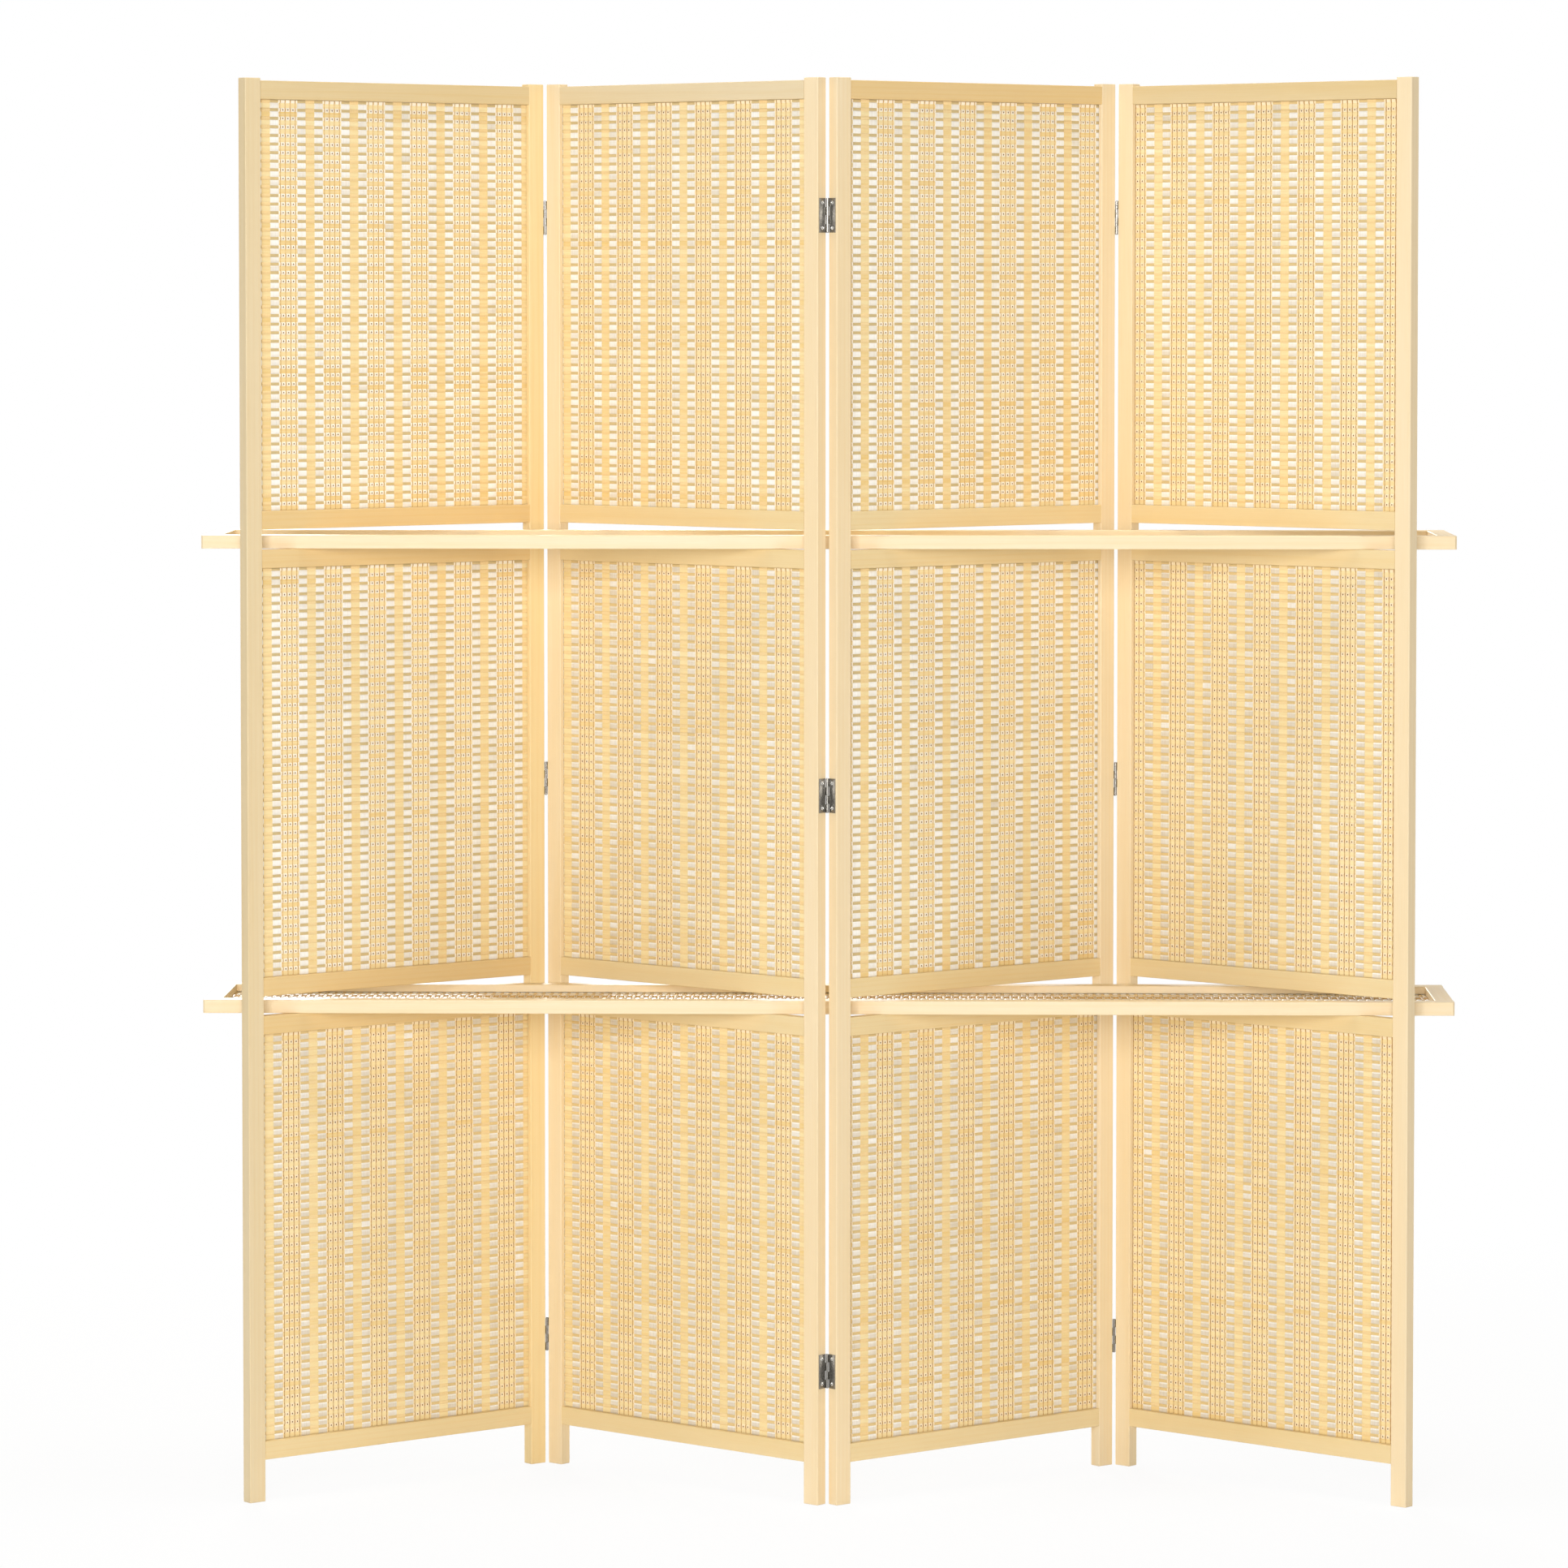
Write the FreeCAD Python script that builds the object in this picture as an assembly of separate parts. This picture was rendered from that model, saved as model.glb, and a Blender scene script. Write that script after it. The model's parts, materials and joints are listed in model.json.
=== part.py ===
"""Folding screen of four bamboo-mat panels, standing in a zigzag, with two shelves through its slots.

Frame: X runs along the screen, Y away from the viewer, Z up. The origin is on the floor, under the
middle of the screen. Lengths are in millimetres and angles in degrees.
"""
import FreeCAD, Part
import math
import os

Vector = FreeCAD.Vector

# Panels
PANEL_WIDTH = 440.0          # outer width of one panel
PANEL_HEIGHT = 1700.0        # floor to the top of the posts
FOLD_ANGLE = 40.0            # between each panel and the line of the screen
MEMBER_FACE = 22.0           # posts and rails, seen from the front
MEMBER_DEPTH = 15.0          # posts and rails, front to back
FOOT_HEIGHT = 50.0           # floor to the underside of the bottom rail
POST_RISE = 3.0              # posts stand this much above the top rail
EDGE_EASE = 0.6              # bevel on the edges of posts and rails

# Joinery
TENON_LENGTH = 10.0
TENON_THICKNESS = 7.0
TENON_SHOULDER = 3.0         # rail edge to tenon edge
TENON_CLEARANCE = 0.1        # around a tenon in its mortise
MAT_THICKNESS = 3.2
MAT_SEAT = 4.0               # how far a mat reaches into its grooves
GROOVE_END_CLEARANCE = 1.0   # mat edge to groove bottom
GROOVE_SIDE_CLEARANCE = 0.2  # mat face to groove wall

# Stripes of a mat: bundles of narrow strips stand out between flat strips
BUNDLE_WIDTH = 25.5
BUNDLE_REPEAT = 64.0         # from one bundle to the next
BUNDLE_RISE = 0.4            # above the mat's face
PANEL_FIRST_BUNDLES = (30.5, 25.5, 45.5, 54.5)   # left edge of each panel's opening to a bundle
SHELF_FIRST_BUNDLE = 33.5    # front edge of a shelf's opening to a bundle

# Hinges
HINGE_HEIGHT = 41.0
TOP_HINGE_DROP = 163.0       # top of the posts to the centre of the top hinge
BOTTOM_HINGE_LEVEL = 160.0   # floor to the centre of the bottom hinge
KNUCKLE_COUNT = 4
KNUCKLE_GAP = 0.2
BARREL_SIDES = 12            # flats round a knuckle or a pin
BARREL_RADIUS = 1.7
BARREL_CLEARANCE = 0.2       # barrel to the end face of a post
BARREL_STAND = 0.4           # barrel axis, out from the face of the panel
PIN_RADIUS = 1.0
PIN_CLEARANCE = 0.05
PIN_OVERHANG = 0.3           # pin end past the barrel
LEAF_THICKNESS = 0.8
LEAF_WIDTH = 13.0            # barrel axis to the free edge of a leaf
LEAF_NOTCH_CLEARANCE = 0.3   # leaf to the knuckles of the other leaf
SCREW_SPACING = 30.0
SCREW_HEAD_RADIUS = 2.4
SCREW_CORE_RADIUS = 1.1
SCREW_TIP_RADIUS = 0.3
SCREW_LENGTH = 12.0
SCREW_CLEARANCE = 0.05       # screw head to its countersink
SCREW_SIDES = 8              # flats round a screw

# Shelves
SHELF_HEIGHT = 16.0
SHELF_RAIL_WIDTH = 22.0
SHELF_OVERHANG = 50.0        # shelf end past the outer posts
SHELF_EDGE_PLAY = 21.5       # shelf edge to the posts beside it, front to back
SHELF_CORNER_CUT = 2.0       # bevel on the outer corners, seen from above
SHELF_MAT_DROP = 9.0         # shelf top to the mat's upper face
SHELF_REST_GAP = 0.2         # shelf to the slot rail that it lies on
SLOT_PLAY = 8.0              # slot height left above the shelf

# Worked out from the sizes above
HALF_WIDTH = PANEL_WIDTH / 2
HALF_DEPTH = MEMBER_DEPTH / 2
OPENING_WIDTH = PANEL_WIDTH - 2 * MEMBER_FACE
HALF_OPENING = OPENING_WIDTH / 2
SLOT_HEIGHT = SHELF_HEIGHT + SLOT_PLAY
MAT_COUNT = 3
SLOT_COUNT = MAT_COUNT - 1
RAIL_COUNT = 2 * MAT_COUNT
MAT_HEIGHT = (
    PANEL_HEIGHT - POST_RISE - FOOT_HEIGHT - RAIL_COUNT * MEMBER_FACE - SLOT_COUNT * SLOT_HEIGHT
) / MAT_COUNT
GROOVE_DEPTH = MAT_SEAT + GROOVE_END_CLEARANCE
GROOVE_WIDTH = MAT_THICKNESS + 2 * GROOVE_SIDE_CLEARANCE

PIN_REACH = HALF_WIDTH + BARREL_RADIUS + BARREL_CLEARANCE   # panel centre to a hinge axis, along the panel
PIN_SIDE = HALF_DEPTH + BARREL_STAND                        # panel centre to a hinge axis, across the panel
COS_FOLD = math.cos(math.radians(FOLD_ANGLE))
SIN_FOLD = math.sin(math.radians(FOLD_ANGLE))
PANEL_PITCH = 2 * (PIN_REACH * COS_FOLD + PIN_SIDE * SIN_FOLD)
PANEL_COUNT = 4

OUTER_REACH = PANEL_PITCH * (PANEL_COUNT - 1) / 2 + HALF_WIDTH * COS_FOLD + HALF_DEPTH * SIN_FOLD
SHELF_LENGTH = 2 * (OUTER_REACH + SHELF_OVERHANG)
SHELF_DEPTH = OPENING_WIDTH * SIN_FOLD - MEMBER_DEPTH * COS_FOLD - 2 * SHELF_EDGE_PLAY

HINGE_LEVELS = (
    PANEL_HEIGHT - TOP_HINGE_DROP,
    (PANEL_HEIGHT - TOP_HINGE_DROP + BOTTOM_HINGE_LEVEL) / 2,
    BOTTOM_HINGE_LEVEL,
)


def block(x_span, y_span, z_span):
    """Box between three pairs of limits."""
    size = [span[1] - span[0] for span in (x_span, y_span, z_span)]
    return Part.makeBox(*size, Vector(x_span[0], y_span[0], z_span[0]))


def about_zero(width):
    """Limits of a span that is centred on zero."""
    return (-width / 2, width / 2)


def edges_along(shape, axis):
    """Straight edges of a shape that run along an axis."""
    chosen = []
    for edge in shape.Edges:
        run = edge.Vertexes[-1].Point - edge.Vertexes[0].Point
        if run.Length > 0 and abs(run.dot(axis)) > 0.999 * run.Length:
            chosen.append(edge)
    return chosen


def faceted(outline, sides):
    """Solid about the Z axis with flat sides, through (radius, height) points from the bottom up."""
    rings = []
    for radius, height in outline:
        ring = []
        for side in range(sides):
            turn = 2 * math.pi * (side + 0.5) / sides
            ring.append(Vector(radius * math.cos(turn), radius * math.sin(turn), height))
        rings.append(ring)
    walls = [rings[0][::-1], rings[-1]]
    for below, above in zip(rings, rings[1:]):
        for side in range(sides):
            after = (side + 1) % sides
            walls.append([below[side], below[after], above[after], above[side]])
    faces = [Part.Face(Part.makePolygon(wall + wall[:1])) for wall in walls]
    return Part.makeSolid(Part.makeShell(faces))


def mirrored(shape, axis):
    """Mirror image in the plane through the origin that is square to an axis."""
    return shape.mirror(Vector(0, 0, 0), axis)


def export(name, solids):
    """Writes one node, a single solid or a group of separate ones."""
    shape = solids[0] if len(solids) == 1 else Part.makeCompound(solids)
    shape.exportStep(f"parts/{name}.step")


# Levels of a panel, from the floor up
def panel_levels():
    """Height spans of the rails and of the mats, lowest first."""
    rails = []
    mats = []
    level = FOOT_HEIGHT
    for _ in range(MAT_COUNT):
        rails.append((level, level + MEMBER_FACE))
        mats.append((level + MEMBER_FACE, level + MEMBER_FACE + MAT_HEIGHT))
        level = mats[-1][1]
        rails.append((level, level + MEMBER_FACE))
        level += MEMBER_FACE + SLOT_HEIGHT
    return rails, mats


RAIL_SPANS, MAT_SPANS = panel_levels()


# Panel frame, in the panel's own axes: X along the panel, Y to its back, origin at its centre
def left_post():
    """Post with mortises for the rails and stopped grooves for the mats."""
    inner = -HALF_OPENING
    post = block((-HALF_WIDTH, inner), about_zero(MEMBER_DEPTH), (0, PANEL_HEIGHT))
    post = post.makeChamfer(EDGE_EASE, post.Edges)
    cuts = []
    mortise_width = TENON_THICKNESS + 2 * TENON_CLEARANCE
    mortise_inset = TENON_SHOULDER - TENON_CLEARANCE
    for low, high in RAIL_SPANS:
        mortise_span = (low + mortise_inset, high - mortise_inset)
        mortise_depth = (inner - TENON_LENGTH - TENON_CLEARANCE, inner)
        cuts.append(block(mortise_depth, about_zero(mortise_width), mortise_span))
    for span in MAT_SPANS:
        cuts.append(block((inner - GROOVE_DEPTH, inner), about_zero(GROOVE_WIDTH), span))
    return post.cut(Part.makeCompound(cuts))


def rail(span, groove_below, groove_above):
    """Rail with a stub tenon at each end and a groove along each edge that holds a mat."""
    low, high = span
    body = block(about_zero(OPENING_WIDTH), about_zero(MEMBER_DEPTH), span)
    body = body.makeChamfer(EDGE_EASE, edges_along(body, Vector(1, 0, 0)))
    tenon_span = (low + TENON_SHOULDER, high - TENON_SHOULDER)
    tenon_run = about_zero(OPENING_WIDTH + 2 * TENON_LENGTH)
    body = body.fuse(block(tenon_run, about_zero(TENON_THICKNESS), tenon_span)).removeSplitter()
    grooves = []
    if groove_below:
        grooves.append((low, low + GROOVE_DEPTH))
    if groove_above:
        grooves.append((high - GROOVE_DEPTH, high))
    for groove_span in grooves:
        body = body.cut(block(about_zero(OPENING_WIDTH), about_zero(GROOVE_WIDTH), groove_span))
    return body


def mat(width, height, first_bundle):
    """Woven mat lying in the XZ plane, with raised bundles on both faces and tongues for the grooves."""
    sheet = block(about_zero(width), about_zero(MAT_THICKNESS), (-MAT_SEAT, height + MAT_SEAT))
    tongues = block(about_zero(width + 2 * MAT_SEAT), about_zero(MAT_THICKNESS), (0, height))
    raised = about_zero(MAT_THICKNESS + 2 * BUNDLE_RISE)
    bundles = []
    start = first_bundle
    while start > 0:
        start -= BUNDLE_REPEAT
    while start < width:
        left = max(start, 0) - width / 2
        right = min(start + BUNDLE_WIDTH, width) - width / 2
        if right > left:
            bundles.append(block((left, right), raised, (0, height)))
        start += BUNDLE_REPEAT
    return sheet.fuse([tongues] + bundles).removeSplitter()


# Hinges, in the panel's own axes, for the hinge at the right end of a panel and on its front side
LEAF_FACE = HALF_WIDTH + LEAF_THICKNESS
LEAF_EDGE = LEAF_WIDTH - PIN_SIDE
BORE_RADIUS = (PIN_RADIUS + PIN_CLEARANCE) / math.cos(math.pi / BARREL_SIDES)   # over its corners
KNUCKLE_PITCH = HINGE_HEIGHT / KNUCKLE_COUNT
NOTCH_REACH = BARREL_RADIUS + LEAF_NOTCH_CLEARANCE
SCREW_LINE = (LEAF_EDGE - PIN_SIDE + NOTCH_REACH) / 2


def barrel_piece(radius, z_span):
    """Piece of round bar on the hinge axis."""
    piece = faceted([(radius, z_span[0]), (radius, z_span[1])], BARREL_SIDES)
    piece.translate(Vector(PIN_REACH, -PIN_SIDE, 0))
    return piece


def screw(level, clearance=0.0):
    """Countersunk wood screw that tapers to its tip, its head flush with the leaf."""
    neck = SCREW_HEAD_RADIUS - SCREW_CORE_RADIUS
    outline = [
        (SCREW_TIP_RADIUS + clearance, -SCREW_LENGTH),
        (SCREW_CORE_RADIUS + clearance, -neck),
        (SCREW_HEAD_RADIUS + clearance, 0),
    ]
    piece = faceted(outline, SCREW_SIDES)
    piece.rotate(Vector(0, 0, 0), Vector(0, 1, 0), 90)
    piece.translate(Vector(LEAF_FACE, SCREW_LINE, level))
    return piece


def screw_levels(level):
    """Heights of the two screws of a leaf."""
    return (level - SCREW_SPACING / 2, level + SCREW_SPACING / 2)


def leaf(level, first_knuckle):
    """Hinge leaf on the end face of a post, with every second knuckle from first_knuckle up."""
    bottom = level - HINGE_HEIGHT / 2
    z_span = (bottom, bottom + HINGE_HEIGHT)
    plate = block((HALF_WIDTH, LEAF_FACE), (NOTCH_REACH - PIN_SIDE, LEAF_EDGE), z_span)
    bores = []
    for index in range(first_knuckle, KNUCKLE_COUNT, 2):
        low = bottom + index * KNUCKLE_PITCH + KNUCKLE_GAP / 2
        knuckle_span = (low, low + KNUCKLE_PITCH - KNUCKLE_GAP)
        tab = block((HALF_WIDTH, LEAF_FACE), (-PIN_SIDE, NOTCH_REACH - PIN_SIDE), knuckle_span)
        plate = plate.fuse([tab, barrel_piece(BARREL_RADIUS, knuckle_span)])
        bores.append(barrel_piece(BORE_RADIUS, knuckle_span))
    holes = [screw(z, SCREW_CLEARANCE) for z in screw_levels(level)]
    return plate.removeSplitter().cut(Part.makeCompound(bores + holes))


def pin(level):
    """Hinge pin through all the knuckles."""
    half = HINGE_HEIGHT / 2 + PIN_OVERHANG
    return barrel_piece(PIN_RADIUS, (level - half, level + half))


# Shelves, in the screen's axes, lying with their underside at zero
def shelf_long_rail():
    """Front rail of a shelf, with bevelled outer corners, mortises for the ends and a groove for the mat."""
    half_length = SHELF_LENGTH / 2
    front = -SHELF_DEPTH / 2
    inner = front + SHELF_RAIL_WIDTH
    body = block((-half_length, half_length), (front, inner), (0, SHELF_HEIGHT))
    corners = []
    for edge in edges_along(body, Vector(0, 0, 1)):
        if edge.CenterOfMass.y < front + SHELF_RAIL_WIDTH / 2:
            corners.append(edge)
    body = body.makeChamfer(SHELF_CORNER_CUT, corners)
    body = body.makeChamfer(EDGE_EASE, edges_along(body, Vector(1, 0, 0)))
    cuts = []
    mortise_y = (inner - TENON_LENGTH - TENON_CLEARANCE, inner)
    mortise_z = (TENON_SHOULDER - TENON_CLEARANCE, SHELF_HEIGHT - TENON_SHOULDER + TENON_CLEARANCE)
    mortise_width = SHELF_RAIL_WIDTH - 2 * TENON_SHOULDER + 2 * TENON_CLEARANCE
    for side in (-1, 1):
        centre = side * (half_length - SHELF_RAIL_WIDTH / 2)
        mortise_x = (centre - mortise_width / 2, centre + mortise_width / 2)
        cuts.append(block(mortise_x, mortise_y, mortise_z))
    groove_x = about_zero(SHELF_LENGTH - 2 * SHELF_RAIL_WIDTH)
    cuts.append(block(groove_x, (inner - GROOVE_DEPTH, inner), shelf_groove()))
    return body.cut(Part.makeCompound(cuts))


def shelf_groove():
    """Height span of the groove that holds a shelf's mat."""
    high = SHELF_HEIGHT - SHELF_MAT_DROP + GROOVE_SIDE_CLEARANCE
    return (high - GROOVE_WIDTH, high)


def shelf_left_end():
    """End rail of a shelf, tenoned into the long rails."""
    outer = -SHELF_LENGTH / 2
    inner = outer + SHELF_RAIL_WIDTH
    inside_depth = SHELF_DEPTH - 2 * SHELF_RAIL_WIDTH
    body = block((outer, inner), about_zero(inside_depth), (0, SHELF_HEIGHT))
    body = body.makeChamfer(EDGE_EASE, edges_along(body, Vector(0, 1, 0)))
    tenon_x = (outer + TENON_SHOULDER, inner - TENON_SHOULDER)
    tenon_z = (TENON_SHOULDER, SHELF_HEIGHT - TENON_SHOULDER)
    tenons = block(tenon_x, about_zero(inside_depth + 2 * TENON_LENGTH), tenon_z)
    body = body.fuse(tenons).removeSplitter()
    return body.cut(block((inner - GROOVE_DEPTH, inner), about_zero(inside_depth), shelf_groove()))


def shelf_mat():
    """Mat of a shelf, its strips running along the shelf."""
    length = SHELF_LENGTH - 2 * SHELF_RAIL_WIDTH
    depth = SHELF_DEPTH - 2 * SHELF_RAIL_WIDTH
    sheet = mat(depth, length, SHELF_FIRST_BUNDLE)
    sheet.translate(Vector(0, 0, -length / 2))
    sheet.rotate(Vector(0, 0, 0), Vector(1, 0, 0), 90)
    sheet.rotate(Vector(0, 0, 0), Vector(0, 0, 1), 90)
    sheet.translate(Vector(0, 0, SHELF_HEIGHT - SHELF_MAT_DROP - MAT_THICKNESS / 2))
    return sheet


# Placing
AXIS_X = Vector(1, 0, 0)
AXIS_Y = Vector(0, 1, 0)


def on_panel(solids, index):
    """Copies of solids, moved from a panel's own axes to its place in the zigzag."""
    turn = FOLD_ANGLE if index % 2 == 0 else -FOLD_ANGLE
    centre = Vector((index - (PANEL_COUNT - 1) / 2) * PANEL_PITCH, 0, 0)
    place = FreeCAD.Placement(centre, FreeCAD.Rotation(Vector(0, 0, 1), turn))
    moved = []
    for solid in solids:
        copy = solid.copy()
        copy.Placement = place.multiply(copy.Placement)
        moved.append(copy)
    return moved


def hinge_side(solids, at_left_end, at_back):
    """Hinge pieces, mirrored to the other end or to the back of a panel."""
    if at_left_end:
        solids = [mirrored(solid, AXIS_X) for solid in solids]
    if at_back:
        solids = [mirrored(solid, AXIS_Y) for solid in solids]
    return solids


os.makedirs("parts", exist_ok=True)

PANEL_NAMES = ("panel_1", "panel_2", "panel_3", "panel_4")
MAT_NAMES = ("lower_mat", "middle_mat", "upper_mat")
SLOT_RAIL_NAMES = ("lower_slot_rails", "upper_slot_rails")

frame_pieces = {
    "left_post": [left_post()],
    "right_post": [mirrored(left_post(), AXIS_X)],
    "bottom_rail": [rail(RAIL_SPANS[0], False, True)],
    "top_rail": [rail(RAIL_SPANS[-1], True, False)],
}
for slot, slot_name in enumerate(SLOT_RAIL_NAMES):
    under_slot = rail(RAIL_SPANS[2 * slot + 1], True, False)
    over_slot = rail(RAIL_SPANS[2 * slot + 2], False, True)
    frame_pieces[slot_name] = [under_slot, over_slot]

for index, panel_name in enumerate(PANEL_NAMES):
    for piece_name, solids in frame_pieces.items():
        export(f"{panel_name}_{piece_name}", on_panel(solids, index))
    panel_mat = mat(OPENING_WIDTH, MAT_HEIGHT, PANEL_FIRST_BUNDLES[index])
    for span, mat_name in zip(MAT_SPANS, MAT_NAMES):
        raised_mat = panel_mat.copy()
        raised_mat.translate(Vector(0, 0, span[0]))
        export(f"{panel_name}_{mat_name}", on_panel([raised_mat], index))

# Each hinge line joins the right end of one panel to the left end of the next
HINGE_LINES = (("left_hinges", False), ("middle_hinges", True), ("right_hinges", False))
panel_screws = {name: [] for name in PANEL_NAMES}
screws = [screw(z) for level in HINGE_LEVELS for z in screw_levels(level)]
pins = [pin(level) for level in HINGE_LEVELS]
for index, (line_name, at_back) in enumerate(HINGE_LINES):
    for side_name, side in (("left_leaves", 0), ("right_leaves", 1)):
        leaves = hinge_side([leaf(level, side) for level in HINGE_LEVELS], side == 1, at_back)
        export(f"{line_name}_{side_name}", on_panel(leaves, index + side))
        turned_screws = hinge_side(screws, side == 1, at_back)
        panel_screws[PANEL_NAMES[index + side]] += on_panel(turned_screws, index + side)
    export(f"{line_name}_pins", on_panel(hinge_side(pins, False, at_back), index))
for panel_name, solids in panel_screws.items():
    export(f"{panel_name}_hinge_screws", solids)

shelf_pieces = {
    "front_rail": shelf_long_rail(),
    "back_rail": mirrored(shelf_long_rail(), AXIS_Y),
    "left_end": shelf_left_end(),
    "right_end": mirrored(shelf_left_end(), AXIS_X),
    "mat": shelf_mat(),
}
for slot, shelf_name in enumerate(("lower_shelf", "upper_shelf")):
    seat = RAIL_SPANS[2 * slot + 1][1] + SHELF_REST_GAP
    for piece_name, solid in shelf_pieces.items():
        placed = solid.copy()
        placed.translate(Vector(0, 0, seat))
        export(f"{shelf_name}_{piece_name}", [placed])
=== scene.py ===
"""Looks of the folding bamboo screen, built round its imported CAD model.

Objects are in metres, in the CAD model's frame. The sizes of the weave and of the hinges are in
millimetres, and turn into metres when their meshes are made.
"""
import json
import math

import bmesh
import bpy
import numpy as np
from mathutils import Matrix, Vector

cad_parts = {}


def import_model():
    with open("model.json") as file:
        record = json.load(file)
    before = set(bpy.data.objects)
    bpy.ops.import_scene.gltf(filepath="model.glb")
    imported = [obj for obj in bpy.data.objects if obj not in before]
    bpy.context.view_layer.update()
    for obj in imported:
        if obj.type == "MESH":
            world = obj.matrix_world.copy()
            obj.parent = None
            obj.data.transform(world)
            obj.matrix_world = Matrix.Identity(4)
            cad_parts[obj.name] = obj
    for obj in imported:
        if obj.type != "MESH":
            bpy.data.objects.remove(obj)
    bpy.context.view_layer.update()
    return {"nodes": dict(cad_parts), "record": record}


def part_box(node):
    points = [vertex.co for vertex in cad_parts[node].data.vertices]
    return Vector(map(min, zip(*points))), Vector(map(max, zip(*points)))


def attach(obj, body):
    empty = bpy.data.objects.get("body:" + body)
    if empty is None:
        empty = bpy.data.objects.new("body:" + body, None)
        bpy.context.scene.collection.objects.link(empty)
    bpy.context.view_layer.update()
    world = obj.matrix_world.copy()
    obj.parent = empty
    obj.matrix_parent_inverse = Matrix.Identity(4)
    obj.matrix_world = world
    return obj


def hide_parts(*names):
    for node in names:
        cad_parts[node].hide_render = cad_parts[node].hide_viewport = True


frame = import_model()

MM = 0.001

# Frame
PANEL_NAMES = ("panel_1", "panel_2", "panel_3", "panel_4")
SHELF_NAMES = ("lower_shelf", "upper_shelf")
FOLD_ANGLE = math.radians(40)
HALF_WIDTH = 220.0           # of a panel
POST_FACE = 22.0             # a post, seen from the front

# Weave
MAT_SEAT = 3.8               # how far a mat reaches into its grooves
MAT_RIM = 1.0                # no painted shade dot lies this close to the rails
ROW_PITCH = 10.19            # from one slat to the next
HALF_PITCH = ROW_PITCH / 2
FIRST_SLAT = 0.3             # rows from the bottom of a mat to the centre of its first slat
ROD_HEIGHT = 3.8
ROD_HALF_THICKNESS = 0.85
ROD_CORNERS = 10
STRIP_THICKNESS = 0.45
STRIP_MARGIN = 0.1           # left free at each edge of a film or a wide strip
NARROWEST_STRIP = 1.0        # what is left of a strip at the edge of a mat, or else it is left out
BUNDLE_REPEAT = 64.0         # from one bundle to the next
BUNDLE_WIDTH = 26.5
PANEL_FIRST_BUNDLES = (30.0, 25.0, 45.0, 54.0)   # left edge of each panel's opening to a bundle
SHELF_FIRST_BUNDLE = 33.0    # front edge of a shelf's opening to a bundle
WHITE_WIDTH = 12.4
WIDE_WIDTH = 12.7
THREAD_PLACES = (-10.95, -3.65, 3.65, 10.95)     # from the middle of a bundle, as for the cords
THREAD_WIDTH = 1.15
CORD_PLACES = (-7.3, 0.0, 7.3)
CORD_WIDTH = 5.2
EDGE_CORD_PLACES = (-12.6, 12.6)
EDGE_CORD_WIDTH = 2.0
WHOLE_CORD = 0.9             # share of a cord's width from which it gets a painted shade dot
SHADE_DOT_HALF_WIDTH = 0.9
SHADE_DOT_HALF_HEIGHT = 1.0
SHADE_DOT_RISE = 0.1
SHADE_DOT_TAPER = np.array([0.4, 1.0, 0.4])   # shares of its width at its bottom, middle and top
SHADE_DOT_CROWN = np.array([0.3, 1.0, 0.3])   # shares of its rise there
WEFT_WANDER = 0.12           # how far slats and rods stray from their row
WEAVE_SHARP_ANGLE = math.radians(50)
MAP_EDGE = 0.2               # share of a strip's band on the bake map that is left empty at each side
MAP_INSET = 0.002            # empty rim of the bake map
MAP_TOLERANCE = 1e-9         # keeps the last corner of a tube on the tube's own band

# Tints of the weave, from 0 for pale to 1 for deep. The film's and cords' tints differ from mat to mat as
# painted light, for the same film and cords on every mat: paler where they stand for the lamps' sheen and
# glints, deeper where they stand for shade. The rods take the film's tint. The slats' tints are their own
# tone, made paler in the middle mats as painted light against the shade under the upper shelf.
# Film, cords and slats in each panel's lower, middle and upper mat
MAT_TINTS_AND_PAINTED_LIGHT = (
    ((0.80, 0.90, 0.75), (0.05, 0.25, 0.65), (0.15, 0.15, 0.95)),
    ((1.00, 0.95, 0.85), (0.80, 0.90, 0.65), (0.30, 0.85, 0.90)),
    ((0.65, 0.90, 0.80), (0.00, 0.25, 0.75), (0.00, 0.25, 0.95)),
    ((1.00, 0.95, 0.70), (0.85, 0.90, 0.35), (0.45, 0.85, 0.60)),
)
SHELF_TINTS = (0.4, 0.4, 1.0)
SLAT_SPREAD = (1.2, 2.2)     # shape of the spread of the slats' ages
ROD_SPREAD = 0.12
STRIP_SPREAD = 0.08          # along a strip
FILM_SPREAD = 0.2            # of the film from row to row
WIDE_AGES = (0.2, 0.8)       # range of the wide strips' ages
FOLD_LEVEL = 2.6             # height above a slat's centre at which the film folds back, where a painted highlight lies
FOLD_REACH = 0.5             # half of the height of that painted highlight
FOLD_PAINTED_HIGHLIGHT = 0.9         # share of the film's tint that the painted highlight takes away
PANEL_SEEDS = 10             # from one panel's first seed to the next panel's
SHELF_SEED = 50

# Hinges
LEAF_THICKNESS = 0.8
LEAF_EDGE = 5.1              # from the panel's centre plane to the free edge of a leaf
PIN_REACH = 221.9            # panel centre to a hinge axis, along the panel
PIN_SIDE = 7.9               # panel centre to a hinge axis, across the panel
HINGE_HEIGHT = 41.0
HINGE_LEVELS = (1537.0, 848.5, 160.0)
KNUCKLE_COUNT = 4
KNUCKLE_GAP = 0.2
BARREL_RADIUS = 1.7
BORE_RADIUS = 1.08
PIN_RADIUS = 1.0
PIN_OVERHANG = 0.3
PIN_END = 0.8                # share of a pin's radius that is left at its rounded ends
NOTCH_REACH = 2.0            # hinge axis to the edge of a leaf between its knuckles
SCREW_SPACING = 30.0
SCREW_HEAD_RADIUS = 2.4
SCREW_HEAD_EDGE = 0.1        # height of the straight edge of a screw's head
SCREW_HEAD_RISE = 0.7
SCREW_HEAD_STEPS = 9
SCREW_CORE_RADIUS = 1.1
SCREW_LENGTH = 12.0
SCREW_POINT = 4.0
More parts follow.
